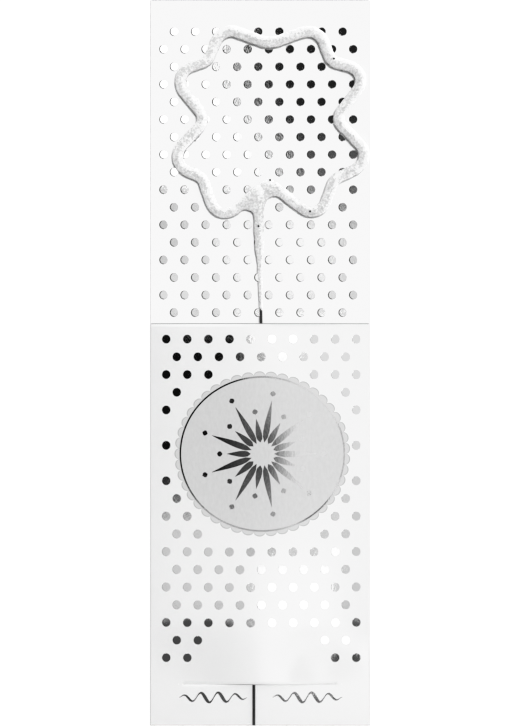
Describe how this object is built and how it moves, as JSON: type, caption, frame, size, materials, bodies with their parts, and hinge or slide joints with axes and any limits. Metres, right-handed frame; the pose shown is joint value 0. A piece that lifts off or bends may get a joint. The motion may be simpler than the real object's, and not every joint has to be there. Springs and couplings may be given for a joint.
{
  "type": "sparkler",
  "caption": "Hand-bent wire sparkler with a coated four-leaf loop, threaded by its stem through a slit in a folded, foil-dotted gift card that opens at its bottom crease.",
  "frame": {"origin": "middle of the card's back face, which lies on the ground", "axes": "+X across the card to the right as it is read, +Y along the card from the fold towards its top edge, +Z out of its face"},
  "size_m": [0.06, 0.198, 0.0039],
  "materials": {
    "card": "smooth white board, slight sheen",
    "foil": "silver stamped foil, mirror bright",
    "wire": "dark drawn steel",
    "coating": "grainy matte grey dried paste"
  },
  "bodies": {
    "back_card": {"back_panel": "card", "back_foil_dots": "foil"},
    "flap": {"front_flap": "card", "flap_foil_dots": "foil", "roundel_foil_ring": "foil"},
    "sparkler": {"core_wire": "wire", "sparkler_coating": "coating"}
  },
  "joints": [
    {"name": "flap_crease", "type": "hinge", "parent": "back_card", "child": "flap", "pos_m": [0, -0.099, 0.00055], "axis": [1, 0, 0], "range_deg": [0, 170]},
    {"name": "stem_slide", "type": "slide", "parent": "flap", "child": "sparkler", "axis": [0, 1, 0], "range_m": [0, 0.109]}
  ]
}
